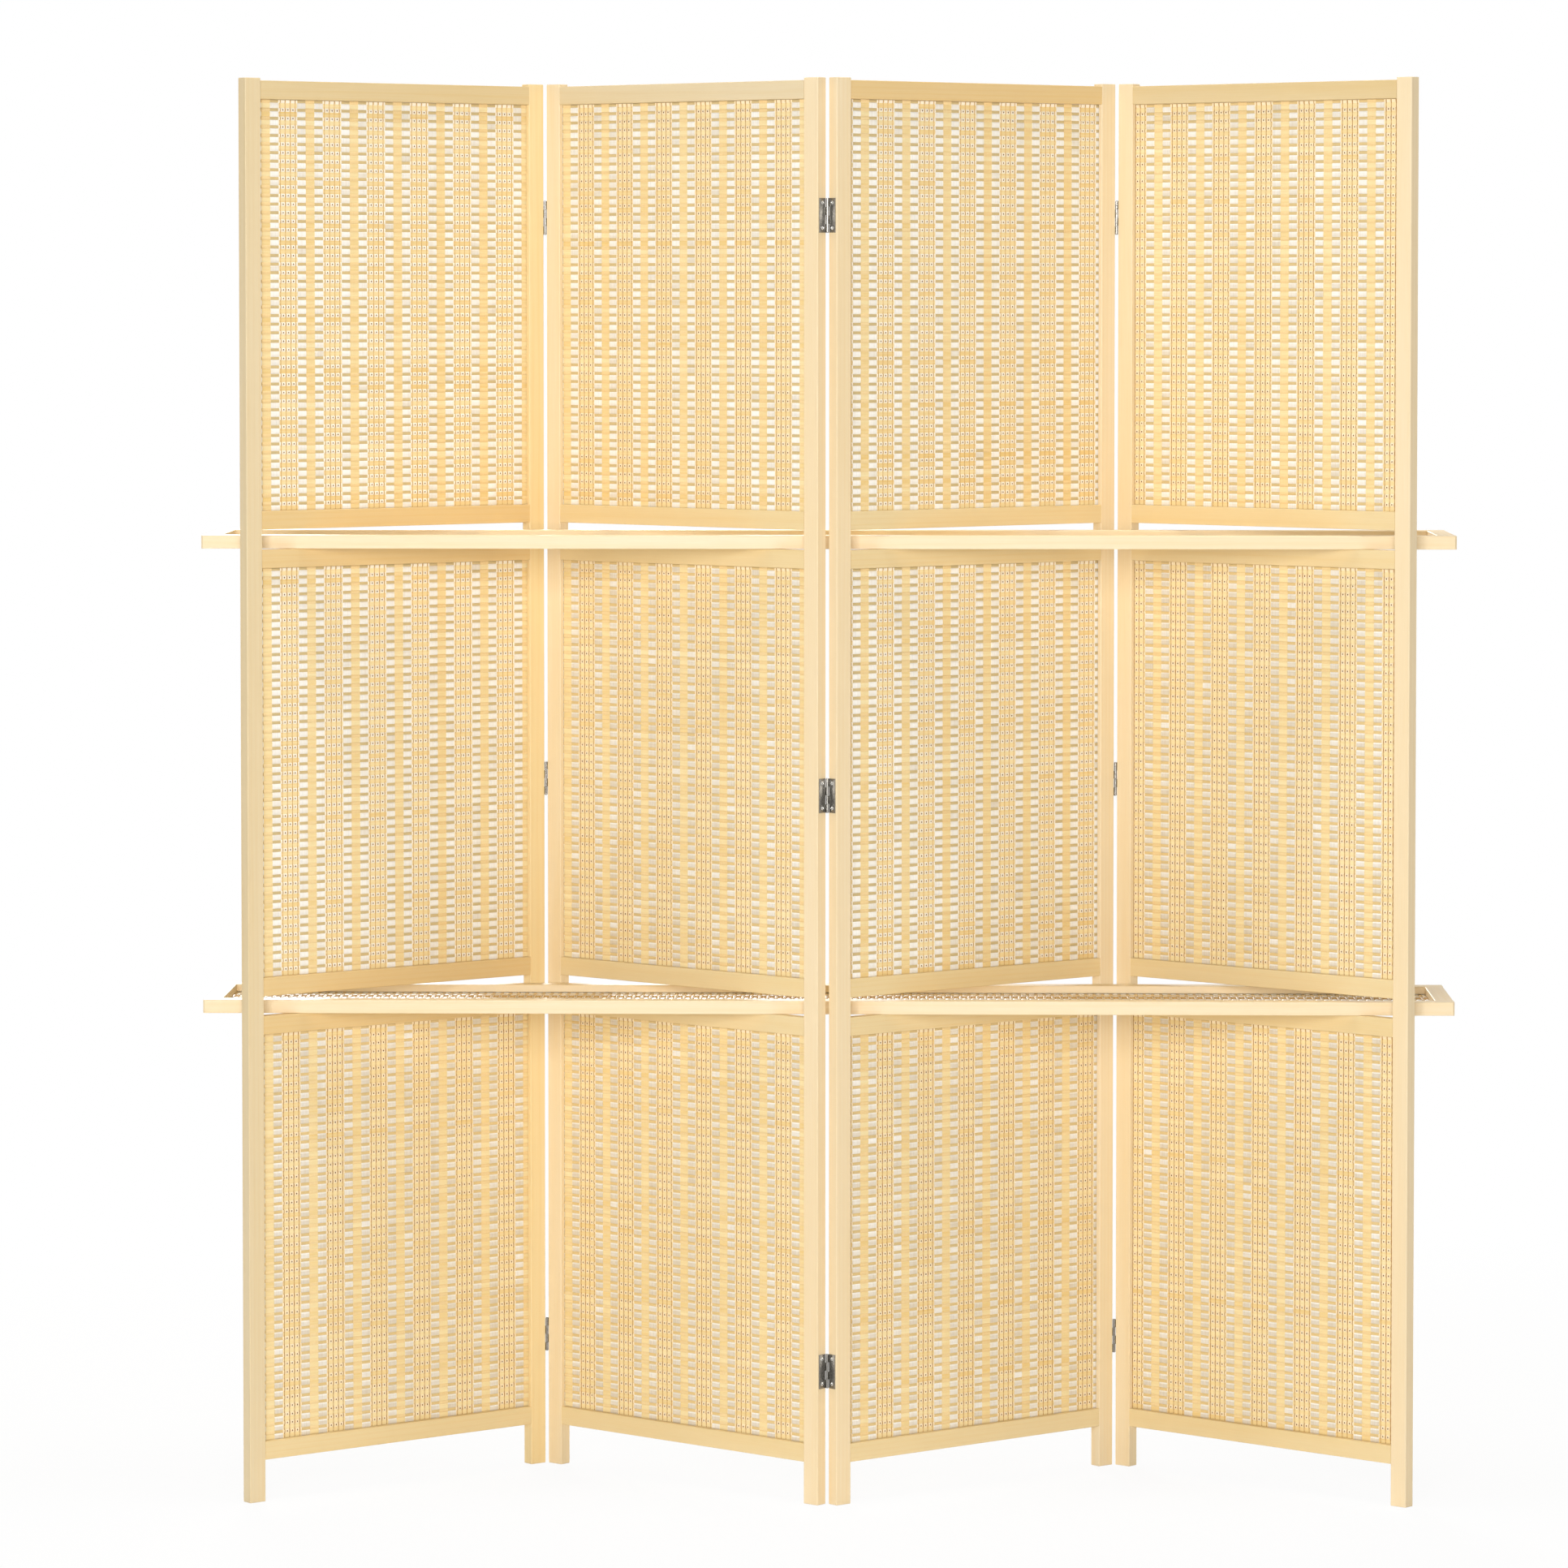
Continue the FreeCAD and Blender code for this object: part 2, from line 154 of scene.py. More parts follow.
CROSS_REACH = 1.35
CROSS_HALF_WIDTH = 0.3
CROSS_DEPTH = 0.8
METAL_EDGE = 0.15            # rounding of the edges of leaves and knuckles
METAL_SHARP_ANGLE = math.radians(35)
ROUND_SEGMENTS = 32

# Materials
LATE_WOOD = (0.95, 0.87, 0.69)    # shares of the pale wood's colour that are left in its dark lines
RING_DEPTH = 0.22            # how far the growth rings, the fibres and the slow tone darken the wood
FIBRE_DEPTH = 0.25
TONE_DEPTH = 0.35
GRAIN_STEP = Vector((0.37, 0.53, 0.71))   # from one member's grain to the next
TINT_SHARE = 0.7             # what a strip's tint and its grain do to its colour
GRAIN_SHARE = 0.3
ROUGH_SPREAD = 0.05          # of a strip's roughness along its grain
NOISE_RANGE = (0.3, 0.7)     # what a noise mostly keeps to
ACROSS = (0.03, 1, 1)        # stretch of the grain
ALONG = (1, 1, 0.03)
BRUSHED = (1, 1, 0.15)
REFRACTION = 1.45            # of wood and bamboo
FILM_REFRACTION = 1.8        # high, for the film's sheen
WHITE = (1, 1, 1, 1)

# Stage
FLOOR_REACH = 12.0
FLOOR_COLOUR = (0.9, 0.9, 0.9, 1)
FLOOR_GLOW = 0.93            # share of plain white in what the camera sees of the floor
SHADOW_NEAR = 1.2            # from here outwards the floor turns plain white
SHADOW_FAR = 2.4
WORLD_LIGHT = 0.15
WORLD_COLOUR = (1.0, 0.87, 0.6, 1)
MIDDLE = (0, 0, 0.9)
UPPER_MIDDLE = (0, 0, 1.3)
# Place, target, width, height and power of each lamp
LAMPS = {
    "key_light": ((-1.75, -7.0, 2.6), MIDDLE, 1.2, 1.2, 140),
    "front_light": ((0.1, -8.3, 1.5), MIDDLE, 2.4, 1.4, 276),
    "top_light": ((0, -0.4, 6.0), MIDDLE, 3.0, 1.6, 160),
    "left_light": ((-4.6, -0.7, 2.6), UPPER_MIDDLE, 2.4, 2.8, 12),
    "right_light": ((4.6, -0.7, 2.6), UPPER_MIDDLE, 2.4, 3.0, 12),
    "back_light": ((-1.2, 5.5, 2.6), MIDDLE, 2.0, 2.0, 210),
}
CAMERA_PLACE = (0.112, -7.939, 1.450)
CAMERA_DIP = math.radians(2.67)
CAMERA_TURN = math.radians(1.20)
CAMERA_LENS = 151.1
CAMERA_SENSOR = 36.0
CAMERA_SHIFT = -0.12


def srgb(red, green, blue):
    """Linear colour of an 8-bit screen colour."""
    linear = []
    for level in (red / 255, green / 255, blue / 255):
        linear.append(level / 12.92 if level <= 0.04045 else ((level + 0.055) / 1.055) ** 2.4)
    return (*linear, 1.0)


class Shader:
    """A material in the making: a Principled surface and the nodes that feed it."""

    def __init__(self, name, **settings):
        self.material = bpy.data.materials.new(name)
        self.material.use_nodes = True
        self.tree = self.material.node_tree
        self.surface = self.tree.nodes["Principled BSDF"]
        for socket, value in settings.items():
            self.surface.inputs[socket.replace("_", " ")].default_value = value

    def node(self, kind, inputs, **settings):
        """New node with its inputs set or linked. Returns its outputs."""
        made = self.tree.nodes.new("ShaderNode" + kind)
        for key, value in settings.items():
            setattr(made, key, value)
        for key, value in inputs.items():
            if isinstance(value, bpy.types.NodeSocket):
                self.tree.links.new(value, made.inputs[key])
            else:
                made.inputs[key].default_value = value
        return made.outputs

    def math(self, operation, first, second):
        """Result of an operation on two numbers."""
        return self.node("Math", {0: first, 1: second}, operation=operation)[0]

    def ranged(self, value, old_range, low, high):
        """Value moved from one range to another, and kept inside it."""
        inputs = {"Value": value, "From Min": old_range[0], "From Max": old_range[1],
                  "To Min": low, "To Max": high}
        return self.node("MapRange", inputs)[0]

    def mixed(self, factor, first, second):
        """Colour between two colours."""
        return self.node("Mix", {0: factor, 6: first, 7: second}, data_type="RGBA")[2]

    def coordinates(self, rotation=(0, 0, 0), scale=(1, 1, 1), location=(0, 0, 0)):
        """The piece's own coordinates, turned and scaled."""
        own = self.node("TexCoord", {})["Object"]
        turned = {"Vector": own, "Rotation": rotation, "Scale": scale, "Location": location}
        return self.node("Mapping", turned)[0]

    def stretched(self, vector, scale):
        """Coordinates scaled along their axes."""
        return self.node("Mapping", {"Vector": vector, "Scale": scale})[0]

    def noise(self, vector, scale, detail):
        """Noise from 0 to 1."""
        return self.node("TexNoise", {"Vector": vector, "Scale": scale, "Detail": detail})[0]

    def bumps(self, height, strength, distance):
        """Surface relief from a height."""
        normal = self.node("Bump", {"Height": height, "Strength": strength, "Distance": distance})[0]
        self.tree.links.new(normal, self.surface.inputs["Normal"])

    def feed(self, socket, value):
        """Links a value to one of the surface's sockets."""
        self.tree.links.new(value, self.surface.inputs[socket])


def pine(name, direction, pale, place):
    """Planed pine whose grain runs along a direction. Place moves the grain from member to member."""
    shader = Shader(name, IOR=REFRACTION)
    deep = [level * share for level, share in zip(pale, LATE_WOOD)] + [1.0]
    turn = Vector(direction).rotation_difference(Vector((0, 0, 1))).to_euler()
    along = shader.coordinates(rotation=turn, location=place * GRAIN_STEP)
    rings = shader.node(
        "TexWave",
        {"Vector": shader.stretched(along, (1, 1, 0.05)), "Scale": 55.0, "Distortion": 5.0,
         "Detail": 2.0, "Detail Scale": 0.6},
        wave_type="RINGS", rings_direction="Z",
    )["Fac"]
    fibres = shader.noise(shader.stretched(along, (1, 1, 0.02)), scale=900.0, detail=3.0)
    tone = shader.noise(shader.stretched(along, (1, 1, 0.08)), scale=24.0, detail=2.0)
    lines = shader.math("POWER", rings, 3.0)
    depth = shader.math("MULTIPLY", lines, RING_DEPTH)
    depth = shader.math("ADD", depth, shader.ranged(fibres, NOISE_RANGE, 0.0, FIBRE_DEPTH))
    depth = shader.math("ADD", depth, shader.ranged(tone, NOISE_RANGE, 0.0, TONE_DEPTH))
    shader.feed("Base Color", shader.mixed(depth, pale, deep))
    shader.feed("Roughness", shader.ranged(fibres, NOISE_RANGE, low=0.42, high=0.56))
    shader.bumps(fibres, strength=0.12, distance=0.0004)
    return shader.material


def tinted(name, pale, deep, rough, grain_scale, grain_stretch, refraction=REFRACTION):
    """Strip or slat of the weave: between two colours by its own tint and by a fine grain."""
    shader = Shader(name, IOR=refraction)
    tint = shader.node("Attribute", {}, attribute_name="tint")["Fac"]
    grain = shader.noise(shader.coordinates(scale=grain_stretch), grain_scale, detail=3.0)
    depth = shader.math("MULTIPLY", tint, TINT_SHARE)
    depth = shader.math("ADD", depth, shader.ranged(grain, NOISE_RANGE, 0.0, GRAIN_SHARE))
    shader.feed("Base Color", shader.mixed(depth, pale, deep))
    shader.feed("Roughness", shader.ranged(grain, NOISE_RANGE, rough - ROUGH_SPREAD, rough + ROUGH_SPREAD))
    shader.bumps(grain, strength=0.1, distance=0.0002)
    return shader.material


def nickel(name, dull, bright):
    """Nickel-plated steel, finely brushed."""
    shader = Shader(name, Metallic=1.0)
    scuffs = shader.noise(shader.coordinates(scale=BRUSHED), scale=2500.0, detail=3.0)
    shader.feed("Base Color", shader.mixed(scuffs, dull, bright))
    shader.feed("Roughness", shader.ranged(scuffs, NOISE_RANGE, low=0.2, high=0.34))
    return shader.material


weave_materials = {
    "slat": tinted("bamboo_slat", srgb(247, 231, 184), srgb(231, 193, 113), 0.5, 700.0, ACROSS),
    "rod": tinted("bamboo_rod", srgb(202, 181, 134), srgb(230, 200, 140), 0.5, 700.0, ACROSS),
    # The film's pale white and deep beige-grey are one film in painted sheen and painted shade.
    "white": tinted("white_film", srgb(252, 251, 248), srgb(213, 199, 175), 0.3, 400.0, ALONG,
                    FILM_REFRACTION),
    "wide": tinted("bamboo_strip", srgb(243, 221, 172), srgb(235, 201, 140), 0.5, 700.0, ALONG),
    # The threads' dark brown is partly painted shade: it stands for each thread and the thin shadow beside
    # it.
    "thread": tinted("bundle_thread_and_shadow", srgb(216, 176, 108), srgb(168, 118, 46), 0.6, 900.0, ALONG),
    # The cords' pale white is a painted glint on their deep cream.
    "cord": tinted("bundle_cord", srgb(254, 249, 238), srgb(249, 226, 182), 0.4, 900.0, ALONG),
    # Painted shade: dark dots on the cords for the shadowed rod that shows through them.
    "shade_dot": tinted("bundle_shade_dot", srgb(124, 84, 38), srgb(102, 68, 28), 0.7, 900.0, ALONG),
}
weave_order = list(weave_materials)
# The same nickel in two shades: the leaves and pins are darker, painted shade for the dark surroundings that
# they reflect; the screws are lighter, a painted highlight for the glints on their domes.
hinge_metal_painted_shade = nickel("hinge_nickel_painted_shade", srgb(122, 119, 114), srgb(162, 159, 153))
screw_metal_painted_glint = nickel("screw_nickel_painted_glint", srgb(196, 194, 189), srgb(222, 220, 215))


class Weave:
    """Closed tubes collected into one mesh, each with a tint, a material and a band of the bake map."""

    def __init__(self):
        self.points = []
        self.faces = []
        self.materials = []
        self.tints = []
        self.map_places = []
        self.point_count = 0
        self.band_count = 0

    def add(self, rings, kind, tints, shared=False):
        """Adds tubes. Rings has the axes tube, station along it, corner round it and coordinate.

        Shared tubes lie on one band of the bake map.
        """
        tubes, stations, corners, _ = rings.shape
        grid = np.arange(tubes * stations * corners).reshape(tubes, stations, corners) + self.point_count
        after = np.roll(grid, -1, axis=2)
        sides = np.stack([grid[:, :-1], after[:, :-1], after[:, 1:], grid[:, 1:]], axis=-1).reshape(-1, 4)
        first_caps = grid[:, 0, ::-1]
        last_caps = grid[:, -1]
        self.faces += sides.tolist() + first_caps.tolist() + last_caps.tolist()
        self.materials.append(np.full(len(sides) + 2 * tubes, weave_order.index(kind)))
        self.points.append(rings.reshape(-1, 3))
        self.tints.append(np.broadcast_to(tints.reshape(tubes, -1, 1), (tubes, stations, corners)).ravel())
        self.map_places.append(self.places(tubes, stations, corners, shared))
        self.point_count += grid.size
        self.band_count += 1 if shared else tubes

    def places(self, tubes, stations, corners, shared):
        """Place of each face corner on the bake map, as a share along the tube and a band number."""
        along = np.linspace(0, 1, stations)
        steps = np.zeros(tubes) if shared else np.arange(tubes)
        band = self.band_count + steps[:, None, None]
        low, high = along[None, :-1, None], along[None, 1:, None]
        start = band + (np.arange(corners) / corners)[None, None, :] + np.zeros_like(low)
        end = start + 1 / corners
        u = np.stack(np.broadcast_arrays(low, low, high, high), axis=-1)
        u = np.broadcast_to(u, (tubes, stations - 1, corners, 4))
        v = np.stack([start, end, end, start], axis=-1)
        v = np.broadcast_to(v, (tubes, stations - 1, corners, 4))
        side_places = np.stack([u, v], axis=-1).reshape(-1, 2)
        round_places = band[:, :, 0] + np.arange(corners) / corners
        first = np.stack([np.zeros_like(round_places), round_places[:, ::-1]], axis=-1).reshape(-1, 2)
        last = np.stack([np.ones_like(round_places), round_places], axis=-1).reshape(-1, 2)
        return np.concatenate([side_places, first, last])

    def bake_map(self):
        """Places on the bake map, each tube on a band of its own."""
        along, level = np.concatenate(self.map_places).T
        band = np.floor(level - MAP_TOLERANCE).clip(0)
        share = MAP_EDGE + (level - band) * (1 - 2 * MAP_EDGE)
        u = MAP_INSET + along * (1 - 2 * MAP_INSET)
        return np.stack([u, (band + share) / self.band_count], axis=-1)

    def make(self, name, matrix):
        """The finished object."""
        mesh = bpy.data.meshes.new(name)
        mesh.from_pydata((np.concatenate(self.points) * MM).tolist(), [], self.faces, shade_flat=False)
        mesh.polygons.foreach_set("material_index", np.concatenate(self.materials).astype(np.int32))
        tint = mesh.attributes.new("tint", "FLOAT", "POINT")
        tint.data.foreach_set("value", np.concatenate(self.tints).astype(np.float32))
        layer = mesh.uv_layers.new(name="OFBake")
        layer.uv.foreach_set("vector", self.bake_map().astype(np.float32).ravel())
        mesh.set_sharp_from_angle(angle=WEAVE_SHARP_ANGLE)
        for kind in weave_order:
            mesh.materials.append(weave_materials[kind])
        piece = bpy.data.objects.new(name, mesh)
        bpy.context.scene.collection.objects.link(piece)
        piece.matrix_world = matrix
        return piece


# Outline of a slat, across and up, with its crowned front at the left
SLAT_OUTLINE = ((0.6, -2.5), (0.6, 2.5), (0.3, 2.95), (-0.35, 2.95), (-0.55, 2.3), (-0.7, 1.0),
                (-0.7, -1.0), (-0.55, -2.3), (-0.35, -2.95), (0.3, -2.95))


def rod_outline():
    """Corners of a rod's oval section."""
    angles = np.arange(ROD_CORNERS) * 2 * math.pi / ROD_CORNERS
    return np.stack([ROD_HALF_THICKNESS * np.cos(angles), ROD_HEIGHT / 2 * np.sin(angles)], axis=-1)


def wefts(weave, kind, outline, levels, width, tints, random):
    """Slats or rods across a mat, each a little off its row."""
    outline = np.asarray(outline)
    ends = np.array([-MAT_SEAT, width / 2, width + MAT_SEAT]) - width / 2
    rings = np.zeros((len(levels), len(ends), len(outline), 3))
    rings[..., 0] = ends[None, :, None]
    rings[..., 1] = outline[None, None, :, 0]
    wander = random.normal(0, WEFT_WANDER, (len(levels), len(ends), 1))
    rings[..., 2] = outline[None, None, :, 1] + levels[:, None, None] + wander
    weave.add(rings, kind, tints)


BEHIND_SLAT = 0.83           # depth of a strip's centre, where front is negative
OVER_ROD = -1.08
CORD_FRONT = OVER_ROD - STRIP_THICKNESS / 2
# Stations of one row of each strip's path: height from the slat's centre, and depth
PATHS = {
    "white": ((-2.95, -0.45), (-2.2, -0.88), (-1.2, -1.0), (1.2, -1.0), (2.2, -0.88), (2.95, -0.45),
              (HALF_PITCH - 0.8, 1.3), (HALF_PITCH + 0.8, 1.3)),
    "thread": ((-2.5, -0.72), (2.5, -0.72), (HALF_PITCH - 1.0, -0.92), (HALF_PITCH + 1.0, -0.92)),
    "wide": ((-2.0, BEHIND_SLAT), (2.0, BEHIND_SLAT),
             (HALF_PITCH - 1.7, -0.78), (HALF_PITCH - 0.7, OVER_ROD),
             (HALF_PITCH + 0.7, OVER_ROD), (HALF_PITCH + 1.7, -0.78)),
    "cord": ((-1.8, BEHIND_SLAT), (1.8, BEHIND_SLAT),
             (HALF_PITCH - 1.4, OVER_ROD), (HALF_PITCH + 1.4, OVER_ROD)),
}


def section(kind, width):
    """Corners of a strip's section: across, and towards the front."""
    half = width / 2
    flat = STRIP_THICKNESS / 2
    if kind == "thread":
        return np.array([(0, 2 * flat), (half, -flat), (-half, -flat)])
    return np.array([(-half, flat), (half, flat), (half, -flat), (-half, -flat)])


def strip_path(kind, slat_levels, height):
    """Stations of a strip up the whole mat, and the direction to its front at each."""
    row = np.array(PATHS[kind])
    levels = (slat_levels[:, None] + row[None, :, 0]).ravel()
    depths = np.tile(row[:, 1], len(slat_levels))
    inside = (levels >= -MAT_SEAT) & (levels <= height + MAT_SEAT)
    levels, depths = levels[inside], depths[inside]
    rise, run = np.gradient(levels), np.gradient(depths)
    length = np.hypot(rise, run)
    return levels, depths, run / length, -rise / length


def strips_across(width, first_bundle):
    """Kind, centre and width of each strip of a mat, in bundles with film and wide strips between them."""
    bundle = (("thread", THREAD_PLACES, THREAD_WIDTH), ("cord", CORD_PLACES, CORD_WIDTH),
              ("cord", EDGE_CORD_PLACES, EDGE_CORD_WIDTH))
    found = []
    start = first_bundle
    while start > -MAT_SEAT:
        start -= BUNDLE_REPEAT
    while start < width + MAT_SEAT:
        middle = start + BUNDLE_WIDTH / 2
        for kind, places, strip_width in bundle:
            for place in places:
                found.append((kind, middle + place - strip_width / 2, middle + place + strip_width / 2))
        left = start + BUNDLE_WIDTH
        for kind, strip_width in (("white", WHITE_WIDTH), ("wide", WIDE_WIDTH), ("white", WHITE_WIDTH)):
            found.append((kind, left + STRIP_MARGIN, left + strip_width - STRIP_MARGIN))
            left += strip_width
        start += BUNDLE_REPEAT
    strips = []
    for kind, left, right in found:
        left, right = max(left, -MAT_SEAT), min(right, width + MAT_SEAT)
        if right - left >= NARROWEST_STRIP:
            strips.append((kind, (left + right) / 2 - width / 2, right - left))
    return strips


def shade_dots(weave, centres, levels, random):
    """Painted shade: a dark dot in the middle of each cord where it crosses a rod, standing for the shadowed
    rod that shows through there.
    """
    across = SHADE_DOT_HALF_WIDTH * SHADE_DOT_TAPER
    front = CORD_FRONT - SHADE_DOT_RISE * SHADE_DOT_CROWN
    up = SHADE_DOT_HALF_HEIGHT * np.array([-1.0, 0.0, 1.0])
    back = np.full(3, CORD_FRONT + SHADE_DOT_RISE)
    sides = np.stack([-across, across, across, -across], axis=-1)
    depths = np.stack([front, front, back, back], axis=-1)
    spots = np.stack(np.meshgrid(centres, levels, indexing="ij"), axis=-1).reshape(-1, 2)
    rings = np.zeros((len(spots), 3, 4, 3))
    rings[..., 0] = spots[:, 0, None, None] + sides
    rings[..., 1] = depths
    rings[..., 2] = spots[:, 1, None, None] + up[None, :, None]
    weave.add(rings, "shade_dot", random.uniform(0, 1, len(spots)), shared=True)


def woven_mat(name, width, height, first_bundle, tints_and_painted_light, seed, matrix):
    """Mat with slats and rods across and strips up it, in and out between them."""
    # Film and cord tints are painted sheen and shade; the slat tint is the slats' tone, with painted light in
    # the middle mats.
    film_painted_light, cord_painted_light, slat_tone_and_painted_light = tints_and_painted_light
    random = np.random.default_rng(seed)
    weave = Weave()
    rows = int((height + 2 * MAT_SEAT) // ROW_PITCH)
    spare = height + 2 * MAT_SEAT - rows * ROW_PITCH
    slat_levels = -MAT_SEAT + spare / 2 + ROW_PITCH * (np.arange(rows) + FIRST_SLAT)
    slat_tints = slat_tone_and_painted_light * random.beta(*SLAT_SPREAD, rows)
    # The rods carry the film's painted sheen and shade.
    rod_tints = (film_painted_light + random.normal(0, ROD_SPREAD, rows)).clip(0, 1)
    wefts(weave, "slat", SLAT_OUTLINE, slat_levels, width, slat_tints, random)
    wefts(weave, "rod", rod_outline(), slat_levels + HALF_PITCH, width, rod_tints, random)
    whole_cords = []
    for kind, centre, strip_width in sorted(strips_across(width, first_bundle)):
        levels, depths, lean_up, lean_out = strip_path(kind, slat_levels, height)
        corners = section(kind, strip_width)
        rings = np.zeros((1, len(levels), len(corners), 3))
        rings[..., 0] = centre + corners[None, None, :, 0]
        rings[..., 1] = depths[None, :, None] + lean_out[None, :, None] * corners[None, None, :, 1]
        rings[..., 2] = levels[None, :, None] + lean_up[None, :, None] * corners[None, None, :, 1]
        wide_age = random.uniform(*WIDE_AGES)
        # Film, threads and cords take their mat's painted sheen and shade; the wide strips get a tone of
        # their own.
        strip_tint_and_light = {"white": film_painted_light, "cord": cord_painted_light, "thread": cord_painted_light, "wide": wide_age}[kind]
        tints = strip_tint_and_light + random.normal(0, STRIP_SPREAD, len(levels))
        if kind == "white":
            above_first = levels - slat_levels[0] + HALF_PITCH
            patches = random.normal(0, FILM_SPREAD, rows + 2)
            tints += patches[(above_first // ROW_PITCH).astype(int)]
            # A painted highlight on the film's fold at the top of each slat.
            in_fold_highlight = np.abs(above_first % ROW_PITCH - HALF_PITCH - FOLD_LEVEL) < FOLD_REACH
            tints -= FOLD_PAINTED_HIGHLIGHT * film_painted_light * in_fold_highlight
        weave.add(rings, kind, tints.clip(0, 1)[None])
        if kind == "cord" and strip_width > WHOLE_CORD * CORD_WIDTH:
            whole_cords.append(centre)
    # Painted shade dots on the cords, over the rods.
    rod_levels = slat_levels[:-1] + HALF_PITCH
    shade_dots(weave, whole_cords, rod_levels[(rod_levels > MAT_RIM) & (rod_levels < height - MAT_RIM)], random)
    return weave.make(name, matrix)


def panel_matrix(index, level):
    """From a panel's own axes, left to right, front to back and up, to its place in the zigzag."""
    low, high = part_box(f"{PANEL_NAMES[index]}_top_rail")
    turn = FOLD_ANGLE if index % 2 == 0 else -FOLD_ANGLE
    return Matrix.Translation(((low.x + high.x) / 2, 0, level)) @ Matrix.Rotation(turn, 4, "Z")


def turned(direction, index):
    """Direction in the panel's own axes, as it stands in the zigzag."""
    return panel_matrix(index, 0).to_3x3() @ Vector(direction)


def panel_mats():
    """The three mats of each panel, between its rails."""
    openings = (
        ("lower_mat", "bottom_rail", "lower_slot_rails"),
        ("middle_mat", "lower_slot_rails", "upper_slot_rails"),
        ("upper_mat", "upper_slot_rails", "top_rail"),
    )
    for index, panel in enumerate(PANEL_NAMES):
        for number, (mat, below, above) in enumerate(openings):
            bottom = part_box(f"{panel}_{below}")[1].z
            height = (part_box(f"{panel}_{above}")[0].z - bottom) / MM
            width = 2 * (HALF_WIDTH - POST_FACE)
            matrix = panel_matrix(index, bottom)
            seed = PANEL_SEEDS * index + number
            name = f"{panel}_{mat}_weave"
            # This mat's tints, with painted sheen and shade on its film and cords.
            tints_and_painted_light = MAT_TINTS_AND_PAINTED_LIGHT[index][number]
            piece = woven_mat(name, width, height, PANEL_FIRST_BUNDLES[index], tints_and_painted_light, seed, matrix)
            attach(piece, panel)
            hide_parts(f"{panel}_{mat}")


def shelf_mats():
    """The mat of each shelf, with its strips along the shelf and its front side up."""
    for number, shelf in enumerate(SHELF_NAMES):
        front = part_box(f"{shelf}_front_rail")[1].y
        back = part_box(f"{shelf}_back_rail")[0].y
        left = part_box(f"{shelf}_left_end")[1].x
        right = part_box(f"{shelf}_right_end")[0].x
        low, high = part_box(f"{shelf}_mat")
        middle, level = (front + back) / 2, (low.z + high.z) / 2
        matrix = Matrix(((0, 0, -1, right), (1, 0, 0, middle), (0, -1, 0, level), (0, 0, 0, 1)))
        width, length = (back - front) / MM, (right - left) / MM
        name, seed = f"{shelf}_weave", SHELF_SEED + number
        piece = woven_mat(name, width, length, SHELF_FIRST_BUNDLE, SHELF_TINTS, seed, matrix)
        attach(piece, shelf)
        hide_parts(f"{shelf}_mat")


def lathe(form, outline, axis_point, axis="Z"):
    """Adds a turned shape to a form: radius and height points, closed at both ends if they reach the axis."""
    rings = []
    for radius, height in outline:
        ring = []
        for step in range(ROUND_SEGMENTS if radius > 0 else 1):
            angle = 2 * math.pi * step / ROUND_SEGMENTS
            across, up = radius * math.cos(angle), radius * math.sin(angle)
            point = (across, up, height) if axis == "Z" else (height, across, up)
            ring.append(form.verts.new(Vector(point) + Vector(axis_point)))
        rings.append(ring)
    for ring, following in zip(rings, rings[1:] + rings[:1]):
        if len(ring) == 1 and len(following) == 1:
            continue
        for step in range(ROUND_SEGMENTS):
            corners = [ring[step % len(ring)], ring[(step + 1) % len(ring)],
                       following[(step + 1) % len(following)], following[step % len(following)]]
            form.faces.new(list(dict.fromkeys(corners)))


def leaf(form, level, first_knuckle):
    """Adds a hinge leaf to a form: a plate with tabs that run into its knuckles."""
    bottom = level - HINGE_HEIGHT / 2
    pitch = HINGE_HEIGHT / KNUCKLE_COUNT
    spans = []
    for index in range(first_knuckle, KNUCKLE_COUNT, 2):
        low = bottom + index * pitch + KNUCKLE_GAP / 2
        spans.append((low, low + pitch - KNUCKLE_GAP))
    outline = [(LEAF_EDGE, bottom + HINGE_HEIGHT), (LEAF_EDGE, bottom)]
    inner, tip = NOTCH_REACH - PIN_SIDE, -PIN_SIDE
    outline.append((inner, bottom))
    for low, high in spans:
        outline += [(inner, low), (tip, low), (tip, high), (inner, high)]
    outline.append((inner, bottom + HINGE_HEIGHT))
    outline = list(dict.fromkeys(outline))
    plate = bmesh.new()
    corners = [plate.verts.new((HALF_WIDTH, y, z)) for y, z in outline]
    face = plate.faces.new(corners)
    raised = bmesh.ops.extrude_face_region(plate, geom=[face])["geom"]
    for vertex in raised:
        if isinstance(vertex, bmesh.types.BMVert):
            vertex.co.x += LEAF_THICKNESS
    front_edges = [edge for edge in plate.edges
                   if all(vertex.co.x > HALF_WIDTH + LEAF_THICKNESS / 2 for vertex in edge.verts)]
    bmesh.ops.bevel(plate, geom=front_edges, offset=METAL_EDGE, segments=2, affect="EDGES", profile=0.5)
    join(form, plate)
    eased = BARREL_RADIUS - METAL_EDGE
    for low, high in spans:
        knuckle = [(BORE_RADIUS, low), (eased, low), (BARREL_RADIUS, low + METAL_EDGE),
                   (BARREL_RADIUS, high - METAL_EDGE), (eased, high), (BORE_RADIUS, high)]
        lathe(form, knuckle, (PIN_REACH, -PIN_SIDE, 0))


def join(form, other):
    """Copies the faces of one form into another."""
    copies = {vertex: form.verts.new(vertex.co) for vertex in other.verts}
    for face in other.faces:
        form.faces.new([copies[vertex] for vertex in face.verts])
    other.free()


